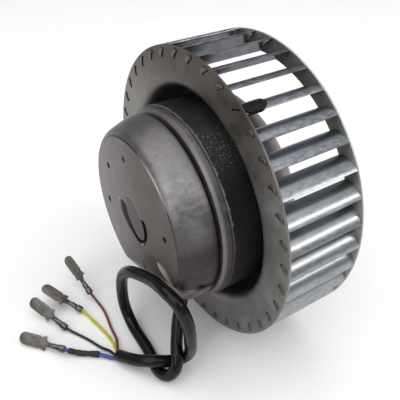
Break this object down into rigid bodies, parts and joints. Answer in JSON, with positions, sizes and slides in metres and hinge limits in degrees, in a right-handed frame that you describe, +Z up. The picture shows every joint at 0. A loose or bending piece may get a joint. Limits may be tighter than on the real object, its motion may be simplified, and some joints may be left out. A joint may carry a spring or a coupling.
{
  "type": "blower motor wheel",
  "caption": "Forward-curved centrifugal blower wheel on an external-rotor motor, with a flat mounting face and a free cable ending in push-on tabs.",
  "frame": {"origin": "centre of the motor's flat mounting face", "axes": "+Y along the shaft from the mounting face towards the open inlet ring; +Z up, the wheel's rim stands on z = -0.070"},
  "size_m": [0.1402, 0.1292, 0.14],
  "materials": {
    "cast_aluminium": "as cast, lightly brushed, dull",
    "black_enamel": "matt black enamel, dusty",
    "cage_aluminium": "die-cast, turned on its edge",
    "galvanised_sheet": "galvanised, satin",
    "blade_sheet": "galvanised, satin with bright edges",
    "ring_sheet": "galvanised, dull olive-grey",
    "cable_jacket": "glossy black PVC",
    "rubber": "matt black rubber",
    "core_brown": "satin PVC",
    "core_yellow": "satin PVC",
    "core_black": "satin PVC",
    "core_blue": "satin PVC",
    "tinned_brass": "tinned, dull grey",
    "lamination_iron": "stacked laminations",
    "copper_winding": "enamelled copper wire",
    "bearing_steel": "ground",
    "clip_steel": "black spring steel"
  },
  "bodies": {
    "stator": {"stator_housing": "cast_aluminium", "cable_grommet": "rubber", "power_cable": "cable_jacket", "core_brown": "core_brown", "core_yellow": "core_yellow", "core_black": "core_black", "core_blue": "core_blue", "core_sleeve": "rubber", "terminal_brown": "tinned_brass", "terminal_yellow": "tinned_brass", "terminal_black": "tinned_brass", "terminal_blue": "tinned_brass", "stator_core": "lamination_iron", "stator_winding": "copper_winding", "bearing_front": "bearing_steel", "bearing_rear": "bearing_steel"},
    "rotor": {"rotor_can": "black_enamel", "rotor_cage": "cage_aluminium", "rotor_shaft": "bearing_steel", "back_plate": "galvanised_sheet", "inlet_ring": "ring_sheet", "balance_clip": "clip_steel", "blade_01": "blade_sheet", "blade_02": "blade_sheet", "blade_03": "blade_sheet", "blade_04": "blade_sheet", "blade_05": "blade_sheet", "blade_06": "blade_sheet", "blade_07": "blade_sheet", "blade_08": "blade_sheet", "blade_09": "blade_sheet", "blade_10": "blade_sheet", "blade_11": "blade_sheet", "blade_12": "blade_sheet", "blade_13": "blade_sheet", "blade_14": "blade_sheet", "blade_15": "blade_sheet", "blade_16": "blade_sheet", "blade_17": "blade_sheet", "blade_18": "blade_sheet", "blade_19": "blade_sheet", "blade_20": "blade_sheet", "blade_21": "blade_sheet", "blade_22": "blade_sheet", "blade_23": "blade_sheet", "blade_24": "blade_sheet", "blade_25": "blade_sheet", "blade_26": "blade_sheet", "blade_27": "blade_sheet", "blade_28": "blade_sheet", "blade_29": "blade_sheet", "blade_30": "blade_sheet", "blade_31": "blade_sheet", "blade_32": "blade_sheet", "blade_33": "blade_sheet", "blade_34": "blade_sheet", "blade_35": "blade_sheet", "blade_36": "blade_sheet", "blade_37": "blade_sheet", "blade_38": "blade_sheet"}
  },
  "joints": [
    {"name": "wheel_spin", "type": "hinge", "parent": "stator", "child": "rotor", "pos_m": [0, 0, 0], "axis": [0, 1, 0], "continuous": true}
  ]
}
